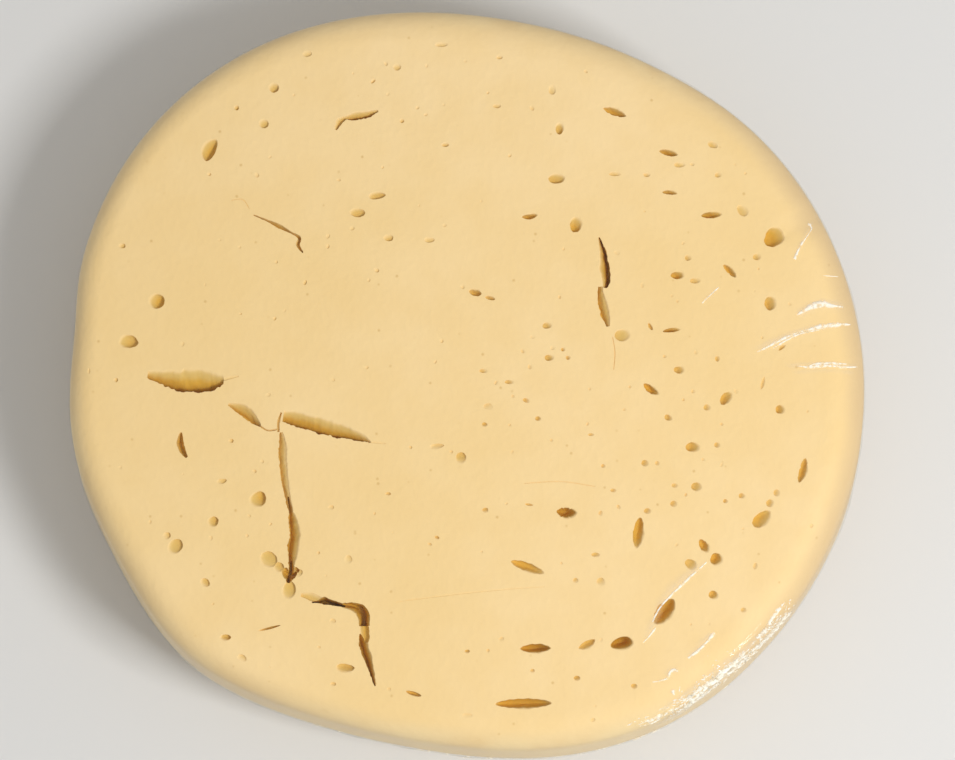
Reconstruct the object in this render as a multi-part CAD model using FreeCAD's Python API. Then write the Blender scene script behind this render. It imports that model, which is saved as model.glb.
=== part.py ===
import FreeCAD, Part
import math
import os

from FreeCAD import Vector

# A thick round of provolone cheese in tight clear film, lying on its base with the cut face up.
# Millimetres. The origin is the middle of the base: +X is the round's right, +Y its far side, +Z up.

# ---- overall sizes
mean_radius = 119.3          # of the outline, seen from above
cut_height = 60.0            # of the cut face above the surface that the cheese stands on

# ---- the uneven outline
# lobes that run right round: (crests, height, direction of one crest in degrees)
outline_lobes = [(1, 1.1, 141.0), (2, 5.1, -17.3), (3, 0.4, 1.5), (4, 1.6, 36.7), (5, 0.5, 2.8), (6, 0.3, -14.3)]
# short dents and bulges, such as the groove of the cord it hung by: (direction, height, half width)
outline_dents = [(174.0, -1.5, 5.0), (190.0, 0.9, 8.0), (208.0, -1.4, 8.0), (226.0, 1.2, 8.0), (57.0, -0.7, 8.0)]
outline_points = 48          # points that a section's curve passes through

# ---- the side, from the base up
foot_width = 8.0             # the rounded lower edge: how far it draws in
foot_height = 9.0
belly = 1.6                  # how far the side swells between foot and shoulder
shoulder_width = 10.9        # the cut edge, rolled over by the film: mean width
shoulder_lobes = [(1, 2.6, 18.0), (2, 1.0, 55.0)]
shoulder_height = 7.5
round_steps = 3              # bands up each rounded edge
side_steps = 2               # and up the side between them

# ---- the film, drawn over the cut face and down the side, its hem turned under the base
film_thickness = 0.3         # two or three layers lie together
film_clearance = 0.1         # between film and cheese
hem_width = 24.0             # of the hem under the base, inside the foot
hem_waves = [(7, 2.2, 12.0), (12, 1.4, 5.0), (3, 3.0, 40.0)]
hem_gap = 1.5                # between the hem's edge and the bare middle that the cheese rests on
hem_seat = film_clearance + film_thickness

# ---- what opens in the cut face: places are given for a round of this mean radius, and spread with it
pattern_radius = 119.3

# eyes: round and oval pockets, each leaning to the middle
# (x, y, length, width, direction of the length in degrees, depth)
eyes = [
    (-78.1, 69.4, 6.8, 3.6, 66, 2.2), (-58.6, 88.5, 2.6, 2.6, 0, 1.2), (-93.5, 22.9, 4.2, 4.0, 90, 2.0),
    (-101.9, 10.6, 5.0, 3.6, 0, 1.8), (-62.5, -37.1, 4.4, 4.1, 0, 1.8), (-76.0, -43.9, 2.6, 2.6, 0, 2.4),
    (-87.2, -51.3, 4.0, 3.7, 60, 1.2), (-59.8, -54.6, 5.2, 3.6, -50, 1.2), (-53.1, -64.4, 4.6, 3.6, 80, 1.2),
    (-72.1, -78.8, 3.1, 1.6, 0, 1.4), (-36.3, -87.9, 5.0, 2.3, -4, 1.4), (-27.2, 55.3, 4.8, 2.0, 6, 1.2),
    (-33.0, 50.0, 4.2, 2.4, 0, 1.2), (27.2, 60.5, 4.8, 2.6, 0, 1.6), (33.0, 46.3, 4.2, 3.2, 90, 3.0),
    (28.2, 75.9, 3.2, 2.2, 90, 1.4), (46.8, 12.5, 4.0, 3.2, 0, 1.0), (63.7, 30.9, 3.6, 2.2, 0, 2.2),
    (93.2, 42.6, 6.4, 5.2, 40, 2.8), (91.7, 22.3, 4.0, 3.0, 90, 1.8), (64.0, 2.0, 2.7, 2.1, 0, 1.4),
    (78.1, -6.6, 4.2, 2.6, 55, 1.8), (94.4, -10.0, 2.4, 2.4, 0, 1.6), (67.9, -21.4, 3.7, 2.7, 0, 1.8),
    (69.0, -33.4, 2.7, 2.4, 0, 1.2), (74.8, -55.2, 3.4, 3.1, 60, 2.6), (67.2, -56.8, 3.4, 2.6, -35, 1.2),
    (73.9, -66.0, 2.5, 2.3, 0, 1.6), (-1.7, -24.5, 2.8, 2.8, 0, 1.0), (88.5, -43.2, 6.2, 3.4, 42, 2.0),
    (46.5, -80.5, 6.6, 3.8, 12, 3.6),
]
eye_lean = 0.35              # how far a pocket's floor moves to the middle, to its depth
eye_sides = 10
eye_levels = [(1.0, 0.0), (0.82, 0.6), (0.42, 1.0)]  # (width to that of the mouth, depth to that of the floor)

# slits: eyes pressed flat, pointed at both ends
# (x, y, length, width, direction in degrees, depth)
slits = [
    (45.0, 81.1, 7.2, 2.1, -20, 2.5), (61.3, 68.5, 5.6, 1.8, -12, 2.5), (74.2, 49.4, 6.0, 1.9, 5, 2.5),
    (79.6, 32.2, 5.2, 1.7, -45, 2.0), (55.6, -3.8, 5.2, 2.0, -35, 2.5), (61.9, 14.0, 5.2, 1.3, 7, 2.0),
    (61.6, 56.2, 4.4, 1.3, -5, 1.8), (19.1, 49.1, 4.6, 1.6, 8, 2.0), (2.6, 25.7, 3.8, 1.9, -15, 2.0),
    (51.6, -47.3, 9.0, 2.9, 82, 2.6), (18.2, -57.7, 10.2, 2.4, -20, 2.2), (17.0, -99.0, 16.5, 2.6, 1, 3.0),
    (20.6, -82.1, 9.0, 2.5, 1, 4.0), (36.0, -80.8, 5.4, 2.0, 28, 1.6), (30.0, -41.1, 5.8, 2.9, -4, 4.0),
    (59.2, -71.0, 9.0, 4.4, 52, 4.0), (101.0, -28.5, 7.5, 2.1, 75, 2.0),
    (-15.8, -95.6, 4.7, 1.2, -17, 1.8), (-39.9, -100.5, 8.0, 1.6, -10, 1.4), (-85.7, -20.8, 7.2, 2.5, -76, 4.0),
    (-59.0, -76.0, 6.8, 0.9, 14, 2.0), (71.2, -51.2, 4.2, 2.4, -58, 2.4),
]
slit_shape = [(-0.5, 0.12), (-0.3, 0.72), (0.0, 1.0), (0.3, 0.72), (0.5, 0.12)]  # (place, width) along it
slit_floor = 0.35            # a slit's width at its floor, to its width at the face
slit_lean = 0.25             # how far its floor moves to the near side, to its depth

# cracks: splits that wander across the face
# each has its line, its half widths along that line, its depth and where the floor lies beside the mouth
cracks = {
    "left_lens": {
        "line": [(-96.2, 0.8), (-90.8, -0.5), (-85.4, -1.7), (-78.7, -2.3), (-73.4, -1.7)],
        "half_widths": [0.3, 1.8, 3.2, 2.6, 1.0],
        "depth": 7.0,
        "lean": (0.6, -2.6),
    },
    "left_short": {
        "line": [(-71.9, -8.6), (-68.0, -10.2), (-65.0, -12.6), (-62.2, -15.0)],
        "half_widths": [0.3, 1.5, 1.5, 0.3],
        "depth": 3.5,
        "lean": (0.3, -1.2),
    },
    "link": {
        "line": [(-62.8, -14.6), (-60.0, -16.4), (-56.4, -15.9)],
        "half_widths": [0.35, 0.3, 0.3],
        "depth": 1.6,
        "lean": (0.0, -0.2),
    },
    "long_across": {
        "line": [(-55.9, -12.0), (-50.1, -13.6), (-44.1, -15.3), (-38.1, -16.8), (-33.6, -18.1), (-28.9, -20.0)],
        "half_widths": [0.9, 2.3, 2.5, 1.8, 1.0, 0.25],
        "depth": 8.0,
        "lean": (0.4, -3.4),
    },
    "long_down": {
        "line": [(-55.8, -11.0), (-56.4, -16.5), (-55.9, -22.5), (-55.6, -29.7), (-54.6, -34.3), (-53.6, -38.9),
                 (-52.4, -43.6), (-51.8, -48.6), (-52.4, -53.6), (-52.9, -57.4), (-53.6, -61.6)],
        "half_widths": [0.3, 0.5, 0.9, 0.8, 0.9, 0.8, 1.1, 1.5, 1.2, 0.9, 0.4],
        "depth": 7.0,
        "lean": (-1.6, 0.0),
    },
    "hook_across": {
        "line": [(-48.9, -66.6), (-44.7, -67.5), (-41.4, -68.2), (-37.8, -69.1), (-34.2, -69.5), (-31.4, -70.6),
                 (-30.6, -73.0), (-30.6, -75.2)],
        "half_widths": [0.4, 0.8, 1.1, 0.8, 1.1, 1.9, 1.7, 1.3],
        "depth": 9.0,
        "lean": (-0.3, -0.6),
    },
    "hook_ledge": {
        "line": [(-30.6, -74.6), (-30.7, -77.0), (-30.8, -78.6)],
        "half_widths": [1.3, 1.4, 1.5],
        "depth": 2.4,
        "lean": (0.0, 0.0),
    },
    "hook_down": {
        "line": [(-30.8, -77.8), (-30.7, -80.6), (-30.2, -83.4), (-29.1, -86.4), (-28.2, -89.4), (-27.3, -93.4)],
        "half_widths": [1.4, 1.6, 1.2, 0.9, 0.6, 0.15],
        "depth": 7.0,
        "lean": (-0.4, 0.3),
    },
    "far_left": {
        "line": [(-64.6, 49.4), (-60.4, 47.6), (-57.1, 46.0), (-53.1, 43.9), (-50.7, 42.4), (-51.1, 40.2), (-49.6, 37.8)],
        "half_widths": [0.15, 0.35, 0.6, 0.35, 0.5, 0.5, 0.15],
        "depth": 3.0,
        "lean": (0.0, -0.3),
    },
    "far_middle": {
        "line": [(-39.8, 76.6), (-37.3, 79.1), (-33.6, 79.9), (-30.3, 80.3), (-26.9, 81.5)],
        "half_widths": [0.3, 1.0, 0.9, 1.0, 0.25],
        "depth": 3.5,
        "lean": (0.2, -0.8),
    },
    "right_upper": {
        "line": [(40.1, 42.5), (41.4, 38.0), (42.0, 33.4), (42.3, 29.4), (41.9, 27.0)],
        "half_widths": [0.2, 0.9, 1.3, 1.2, 0.4],
        "depth": 6.0,
        "lean": (-0.7, 0.0),
    },
    "right_lower": {
        "line": [(40.0, 26.8), (40.8, 22.8), (41.7, 19.6), (42.7, 15.2)],
        "half_widths": [0.6, 1.1, 1.2, 0.4],
        "depth": 3.0,
        "lean": (-0.8, 0.0),
    },
}
crack_step = 2.0             # longest straight run of a crack's edge
crack_ragged = 0.22          # how much the edge wanders, to the half width
crack_beat = 2.4             # how fast it wanders: radians from one station to the next
crack_shift = 1.7            # and how far out of step the two edges are, each way
crack_floor = 0.3            # a crack's width at its floor, to its width at the face

tool_lift = 1.0              # how far the cutting shapes stand above the face


def waves(lobes, angle):
    """Height of a set of lobes at an angle in radians."""
    return sum(height * math.cos(count * (angle - math.radians(crest))) for count, height, crest in lobes)


def outline_radius(angle):
    """Distance of the outline from the middle at an angle in radians."""
    radius = mean_radius + waves(outline_lobes, angle)
    for direction, height, half_width in outline_dents:
        apart = math.remainder(angle - math.radians(direction), math.tau) / math.radians(half_width)
        radius += height * math.exp(-apart * apart / 2)
    return radius


def ring(inset, shoulder_share, height, hem=()):
    """Closed level curve, drawn in from the outline by inset and a share of the uneven shoulder."""
    points = []
    for step in range(outline_points):
        angle = math.tau * step / outline_points
        shoulder = shoulder_width + waves(shoulder_lobes, angle)
        radius = outline_radius(angle) - inset - shoulder_share * shoulder + waves(hem, angle)
        points.append(Vector(radius * math.cos(angle), radius * math.sin(angle), height))
    curve = Part.BSplineCurve()
    curve.interpolate(Points=points, PeriodicFlag=True)
    return Part.Wire(curve.toShape())


def quarter_round(width, height, lean):
    """Point on a quarter ellipse and its unit normal: lean is -90 at its foot and +90 at its top."""
    across, up = math.cos(math.radians(lean)), math.sin(math.radians(lean))
    length = math.hypot(across / width, up / height)
    return 1 - across, up, across / width / length, up / height / length


def side_levels(offset):
    """Sections of the side, base to cut face, moved outwards by offset: (inset, shoulder share, height)."""
    foot_top = hem_seat + foot_height
    shoulder_foot = cut_height - shoulder_height
    levels = []
    for step in range(round_steps + 1):
        drawn_in, up, out, lift = quarter_round(foot_width, foot_height, 90 * (step / round_steps - 1))
        inset = belly + foot_width * drawn_in - offset * out
        levels.append((inset, 0.0, foot_top + foot_height * up + offset * lift))
    for step in range(1, side_steps):
        share = step / side_steps
        swell = belly * math.cos(math.pi * share) ** 2
        levels.append((swell - offset, 0.0, foot_top + share * (shoulder_foot - foot_top)))
    for step in range(round_steps + 1):
        drawn_in, up, out, lift = quarter_round(shoulder_width, shoulder_height, 90 * step / round_steps)
        height = shoulder_foot + shoulder_height * up + offset * lift
        levels.append((belly - offset * out, drawn_in, height))
    return levels


def slab(offset):
    """The whole round, moved outwards by offset, flat at its base and cut face."""
    rings = [ring(inset, share, height) for inset, share, height in side_levels(offset)]
    return Part.makeLoft(rings, True, True)


def disc(inset, low, high):
    """Upright disc with the hem's wavy outline."""
    return Part.makeLoft([ring(inset, 0.0, height, hem_waves) for height in (low, high)], True, True)


def spread(x, y):
    """Place on this round of a place given for the pattern's radius."""
    return x * mean_radius / pattern_radius, y * mean_radius / pattern_radius


def sunk(levels):
    """Cutting shape that goes down from above the cut face through levels: (outline, depth)."""
    wires = []
    for outline, depth in [(levels[0][0], -tool_lift)] + levels:
        points = [Vector(x, y, cut_height - depth) for x, y in outline]
        wires.append(Part.makePolygon(points + points[:1]))
    return Part.makeLoft(wires, True, True)


def eye_tool(x, y, length, width, direction, depth):
    """Oval bowl that narrows to its floor and leans to the middle."""
    x, y = spread(x, y)
    away = math.atan2(y, x)
    turn = math.radians(direction)
    levels = []
    for share, down in eye_levels:
        lean = eye_lean * depth * down
        outline = []
        for side in range(eye_sides):
            along = share * length / 2 * math.cos(math.tau * side / eye_sides)
            across = share * width / 2 * math.sin(math.tau * side / eye_sides)
            outline.append((x - lean * math.cos(away) + along * math.cos(turn) - across * math.sin(turn),
                            y - lean * math.sin(away) + along * math.sin(turn) + across * math.cos(turn)))
        levels.append((outline, depth * down))
    return sunk(levels)


def split_tool(line, half_widths, depth, lean, floor_share):
    """Split that follows a line, with ragged edges, narrowing to a floor that lies beside its mouth."""
    line = [spread(x, y) for x, y in line]
    stations = []
    for index in range(len(line) - 1):
        (x, y), (next_x, next_y) = line[index:index + 2]
        half, next_half = half_widths[index:index + 2]
        runs = max(1, round(math.dist(line[index], line[index + 1]) / crack_step))
        for run in range(runs):
            share = run / runs
            stations.append((x + share * (next_x - x), y + share * (next_y - y), half + share * (next_half - half)))
    stations.append((*line[-1], half_widths[-1]))
    mouth, floor = [], []
    for side in (1, -1):
        for index in range(len(stations))[::side]:
            x, y, half = stations[index]
            before, after = stations[max(index - 1, 0)], stations[min(index + 1, len(stations) - 1)]
            across = math.atan2(after[1] - before[1], after[0] - before[0]) + side * math.pi / 2
            reach = half * (1 + crack_ragged * math.sin(crack_beat * index + crack_shift * side))
            mouth.append((x + reach * math.cos(across), y + reach * math.sin(across)))
            floor.append((x + lean[0] + floor_share * reach * math.cos(across),
                          y + lean[1] + floor_share * reach * math.sin(across)))
    return sunk([(mouth, 0.0), (floor, depth)])


def slit_tool(x, y, length, width, direction, depth):
    """Short split with pointed ends, widest at its middle."""
    turn = math.radians(direction)
    line = [(x + share * length * math.cos(turn), y + share * length * math.sin(turn))
            for share, _ in slit_shape]
    half_widths = [width / 2 * share for _, share in slit_shape]
    return split_tool(line, half_widths, depth, (0.0, -slit_lean * depth), slit_floor)


def make_cheese():
    """The slab on its flat foot, with every eye, slit and crack cut into the top."""
    foot = disc(belly + foot_width + hem_width + hem_gap, 0.0, cut_height / 2)
    tools = [eye_tool(*eye) for eye in eyes]
    tools += [slit_tool(*slit) for slit in slits]
    tools += [split_tool(crack["line"], crack["half_widths"], crack["depth"], crack["lean"], crack_floor)
              for crack in cracks.values()]
    return slab(0.0).fuse(foot).cut(tools)


def make_film():
    """Thin skin that follows the slab from hem to hem and lies flat over the cut face."""
    outside = slab(hem_seat)
    inside = slab(film_clearance)
    opening = disc(belly + foot_width + hem_width, 0.0, cut_height / 2)
    return outside.cut([inside, opening])


os.makedirs("parts", exist_ok=True)
for name, make in {"cheese": make_cheese, "film": make_film}.items():
    piece = make()
    solid = piece.Solids[0] if len(piece.Solids) == 1 else piece
    solid.exportStep(f"parts/{name}.step")
    print(name, len(piece.Solids), "solid", piece.isValid(), "volume", round(piece.Volume), piece.BoundBox)
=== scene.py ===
import math
import random

import bmesh
import bpy
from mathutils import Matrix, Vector, noise
from mathutils.bvhtree import BVHTree


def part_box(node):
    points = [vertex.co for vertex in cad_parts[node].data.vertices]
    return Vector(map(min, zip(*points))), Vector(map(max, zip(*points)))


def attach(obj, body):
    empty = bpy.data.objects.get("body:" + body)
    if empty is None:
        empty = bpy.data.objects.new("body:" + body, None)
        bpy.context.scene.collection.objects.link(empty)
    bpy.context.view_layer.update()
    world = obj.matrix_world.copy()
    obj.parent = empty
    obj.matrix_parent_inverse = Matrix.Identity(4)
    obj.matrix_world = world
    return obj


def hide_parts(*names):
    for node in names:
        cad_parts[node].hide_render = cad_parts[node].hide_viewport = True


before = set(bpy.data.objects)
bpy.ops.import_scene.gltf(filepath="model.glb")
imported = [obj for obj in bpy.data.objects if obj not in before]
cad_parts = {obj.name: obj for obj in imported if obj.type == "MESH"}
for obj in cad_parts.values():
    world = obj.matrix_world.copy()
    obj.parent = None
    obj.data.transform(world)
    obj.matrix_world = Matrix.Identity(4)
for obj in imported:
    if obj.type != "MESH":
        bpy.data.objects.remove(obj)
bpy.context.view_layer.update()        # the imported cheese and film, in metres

mm = 0.001
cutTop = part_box("cheese")[1].z        # height of the cut face
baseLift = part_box("film")[1].z - cutTop        # the film's two skins, over the face as under the base
farOut = 0.3        # outside everything, where the rays that feel for a wall start
firstRadius = 0.1        # any size does: the points of a new circle are set at once


def treeOf(node):
    shape = bmesh.new()
    shape.from_mesh(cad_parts[node].data)
    tree = BVHTree.FromBMesh(shape)
    shape.free()
    return tree


cheeseTree = treeOf("cheese")
filmTree = treeOf("film")


def outwardReach(tree, angle, height):        # distance from the middle to the outside of a CAD piece
    out = Vector((math.cos(angle), math.sin(angle), 0))
    hit = tree.ray_cast(out * farOut + Vector((0, 0, height)), -out)
    return Vector(hit[0][:2]).length


def inwardReach(tree, angle, height):        # from the middle to the first wall met
    out = Vector((math.cos(angle), math.sin(angle), 0))
    hit = tree.ray_cast(Vector((0, 0, height)), out)
    return Vector(hit[0][:2]).length


def tabled(function, steps=720):        # a function of angle, worked out once and read between its steps
    values = [function(math.tau * step / steps) for step in range(steps)]

    def read(angle):
        place = angle / math.tau * steps
        low = math.floor(place)
        return values[low % steps] + (values[(low + 1) % steps] - values[low % steps]) * (place - low)
    return read


def outlineAt(tree, height, inset=0):        # the outside of a CAD piece at a height, by angle
    return tabled(lambda angle: outwardReach(tree, angle, height) - inset)


def rounded(inner, outer, share):        # reach part of the way round a quarter ellipse
    bow = math.sqrt(1 - (1 - share) ** 2)
    return lambda angle: inner(angle) + (outer(angle) - inner(angle)) * bow


def angleOf(vert):
    return math.atan2(vert.co.y, vert.co.x) % math.tau


def placeOut(vert, reach, height):        # the height may be a function of angle, as the reach is
    angle = angleOf(vert)
    radius = reach(angle)
    level = height(angle) if callable(height) else height
    vert.co = (radius * math.cos(angle), radius * math.sin(angle), level)


def firstRing(shape, segments, reach, height):        # a circle whose points are set by a reach function
    made = bmesh.ops.create_circle(shape, cap_ends=False, segments=segments, radius=firstRadius)
    for vert in made["verts"]:
        placeOut(vert, reach, height)
    return shape.edges[:]


def nextRing(shape, edges, reach, height):        # extrudes the open ring and sets its points again
    made = bmesh.ops.extrude_edge_only(shape, edges=edges)
    for item in made["geom"]:
        if isinstance(item, bmesh.types.BMVert):
            placeOut(item, reach, height)
    return [item for item in made["geom"] if isinstance(item, bmesh.types.BMEdge)]


def roundRings(shape, ring, inner, outer, start, climb, shares):        # up or down a rounded edge
    for share in shares:
        ring = nextRing(shape, ring, rounded(inner, outer, share), start + climb * share)
    return ring


def sideRings(shape, ring, tree, levels, inset=0):        # up the side, at levels in mm
    for level in levels:
        ring = nextRing(shape, ring, outlineAt(tree, level * mm, inset), level * mm)
    return ring


def faceRings(shape, ring, gap, level):        # from the edge of the cut face in to its middle
    ring = nextRing(shape, ring, flatEdge, level)
    rings = int(flatEdge(0) / gap)
    for step in range(rings - 1, 0, -1):
        ring = nextRing(shape, ring, lambda angle: flatEdge(angle) * step / rings, level)
    bmesh.ops.holes_fill(shape, edges=ring)


def smoothStep(low, high, value):
    share = min(max((value - low) / (high - low), 0), 1)
    return share * share * (3 - 2 * share)


def smoothLine(line, step):        # a curve through the points, in steps of about the given length
    places = []
    for index in range(len(line) - 1):
        start, end = Vector(line[index]), Vector(line[index + 1])
        before, after = Vector(line[max(index - 1, 0)]), Vector(line[min(index + 2, len(line) - 1)])
        runs = max(1, round((end - start).length / step))
        for run in range(runs):
            share = run / runs
            places.append(0.5 * (2 * start + (end - before) * share
                                 + (2 * before - 5 * start + 4 * end - after) * share ** 2
                                 + (3 * start - before - 3 * end + after) * share ** 3))
    return places + [Vector(line[-1])]


def nearestOn(places, spot):        # distance to a line, share of its length there, and the side
    best = (math.inf, 0, 0)
    for index in range(len(places) - 1):
        run = places[index + 1] - places[index]
        share = min(max((spot - places[index]).dot(run) / run.length_squared, 0), 1)
        off = spot - places[index] - run * share
        if off.length < best[0]:
            best = (off.length, (index + share) / (len(places) - 1), run.x * off.y - run.y * off.x)
    return best


def lumps(spot):        # slow unevenness of the paste, which the film follows: how far to move a point
    look = cheeseLook
    swell = noise.noise(spot * look["broadSwell"])
    swell += 0.4 * noise.noise(spot * look["fineSwell"] + Vector((0, 0, 3)))
    up = smoothStep(cutTop / 2, cutTop - look["swellEdge"], spot.z)
    out = Vector((spot.x, spot.y, 0)).normalized() * (1 - up) * smoothStep(0, look["swellEdge"], spot.z)
    return look["unevenness"] * swell * (out * look["sideSwell"] + Vector((0, 0, up)))


def finishedObject(name, shape, sharpAngle=None):        # edges sharper than that many degrees stay sharp
    bmesh.ops.recalc_face_normals(shape, faces=shape.faces)
    for face in shape.faces:
        face.smooth = True
    if sharpAngle is not None:
        for edge in shape.edges:
            if len(edge.link_faces) == 2 and edge.calc_face_angle(0) > math.radians(sharpAngle):
                edge.smooth = False
    mesh = bpy.data.meshes.new(name)
    shape.to_mesh(mesh)
    shape.free()
    piece = bpy.data.objects.new(name, mesh)
    bpy.context.collection.objects.link(piece)
    return piece


def applyModifiers(piece):        # swaps the mesh for the one that the modifiers give
    depsgraph = bpy.context.evaluated_depsgraph_get()
    mesh = bpy.data.meshes.new_from_object(piece.evaluated_get(depsgraph))
    piece.modifiers.clear()
    piece.data = mesh


cheeseLook = {
    "segments": 240,
    "ringGap": 5.0 * mm,        # between the rings of the cut face
    "footSkim": 0.03 * mm,        # how far over its level the foot's outline is read
    "faceSkim": 0.02 * mm,        # and how far under the cut face its edge is
    "footHeight": 9.0 * mm,
    "footShares": [0.02, 0.08, 0.18, 0.32, 0.5, 0.75, 1.0],        # rings up the rounded foot
    "sideLevels": [14, 20, 26, 32, 38, 44, 49],        # in mm
    "shoulderHeight": 7.5 * mm,
    "shoulderShares": [1.0, 0.78, 0.58, 0.42, 0.28, 0.17, 0.09, 0.035, 0.008],        # down to up
    "unevenness": 0.2 * mm,        # slow swell of the paste
    "sideSwell": 1.6,        # how much more the side swells than the face
    "broadSwell": 22,        # swells to the metre
    "fineSwell": 60,
    "swellEdge": 8.0 * mm,        # the swell fades out over this height at the foot and the shoulder
    "rimWidth": 2.0 * mm,        # how far in from the shoulder the rind's colour starts, which also lifts the shoulder's shade as painted light
    "weld": 0.002 * mm,        # points nearer than this become one
    "sharp": 38,        # degrees
}

pocketLook = {        # eyes and slits
    "sides": [(4, 36), (2, 24), (0, 14)],        # points round the mouth, for those longer than so many mm
    "waves": [(2, 0.04), (3, 0.06), (5, 0.03), (9, 0.03)],        # waves round the mouth, and most height
    "slide": (0.3, 0.6),        # how far the floor slides to the undercut side, to the half width
    "slitSlide": 0.6,        # how much of that a slit does
    "bow": 0.3,        # most bend of a slit
    "blunt": (0.1, 0.45),        # how fine its ends are
    "lip": [0.66, 0.3, 0.02],        # how the rolled lip closes in
    "walls": [0.25, 0.5, 0.75, 0.92, 1.0],        # rings down the wall
    "margin": 1.2,        # mm that one keeps from its neighbours in a set
}

crackLook = {
    "hairline": 1,        # mm: cracks no deeper than this get fewer points and rings
    "steps": (0.8, 0.4),        # mm between points, for a hairline and for the others
    "tear": 0.16,        # how much an edge wanders, to its half width
    "ragged": 0.3,        # and how rough the undercut edge is, in mm
    "lip": [0.62, 0.28, 0],
    "walls": [0.1, 0.22, 0.36, 0.52, 0.7, 0.86, 1.0],
    "hairWalls": [0.5, 1.0],
    "margin": 1.6,
}

pinholeLook = {
    "count": 120,
    "spread": 108,        # mm out from the middle
    "widths": (0.5, 1.4, 0.8),        # least, most and commonest, in mm
    "longer": (1, 1.5),        # length to width
    "depths": (0.15, 0.45),        # depth to width
    "margin": 1.6,
    "crackMargin": 2.5,
}

# eyes: (x, y, length, width, direction in degrees, depth), all in mm
eyes = [
    (-78.1, 69.4, 6.8, 3.6, 66, 2.2), (-58.6, 88.5, 2.6, 2.6, 0, 1.2), (-93.5, 22.9, 4.2, 4.0, 90, 2.0),
    (-101.9, 10.6, 5.0, 3.6, 0, 1.8), (-62.5, -37.1, 4.4, 4.1, 0, 1.8), (-76.0, -43.9, 2.8, 2.7, 0, 1.3),
    (-87.2, -51.3, 4.0, 3.7, 60, 1.2), (-53.1, -64.4, 4.6, 3.6, 80, 1.2),
    (-72.1, -78.8, 3.1, 1.6, 0, 1.4), (-36.3, -87.9, 5.0, 2.3, -4, 1.4), (-27.2, 55.3, 4.8, 2.0, 6, 1.2),
    (-33.0, 50.0, 4.2, 2.4, 0, 1.2), (27.2, 60.5, 4.8, 2.6, 0, 1.6), (33.0, 46.3, 4.2, 3.2, 90, 2.0),
    (28.2, 75.9, 3.2, 2.2, 90, 1.4), (46.8, 12.5, 4.0, 3.2, 0, 1.0), (63.7, 30.9, 3.6, 2.2, 0, 2.2),
    (93.2, 42.6, 6.4, 5.2, 40, 2.8), (91.7, 22.3, 4.0, 3.0, 90, 1.8), (64.0, 2.0, 2.7, 2.1, 0, 1.4),
    (78.1, -6.6, 4.2, 2.6, 55, 1.8), (94.4, -10.0, 2.4, 2.4, 0, 1.6), (67.9, -21.4, 3.7, 2.7, 0, 1.8),
    (69.0, -33.4, 2.7, 2.4, 0, 1.2), (74.8, -55.2, 3.4, 3.1, 60, 2.6), (67.2, -56.8, 3.4, 2.6, -35, 1.2),
    (73.9, -66.0, 2.5, 2.3, 0, 1.6), (-1.7, -24.5, 2.8, 2.8, 0, 1.0), (88.5, -43.2, 6.2, 3.4, 42, 2.0),
    (46.5, -80.5, 6.6, 3.3, 12, 5.0), (-59.2, -55.2, 4.8, 4.0, -40, 1.0), (-56.2, -57.6, 3.0, 2.4, -40, 1.1),
    (-51.0, -58.6, 2.0, 1.4, -50, 2.2), (-54.6, -58.8, 2.2, 1.6, 40, 2.0),
]
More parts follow.
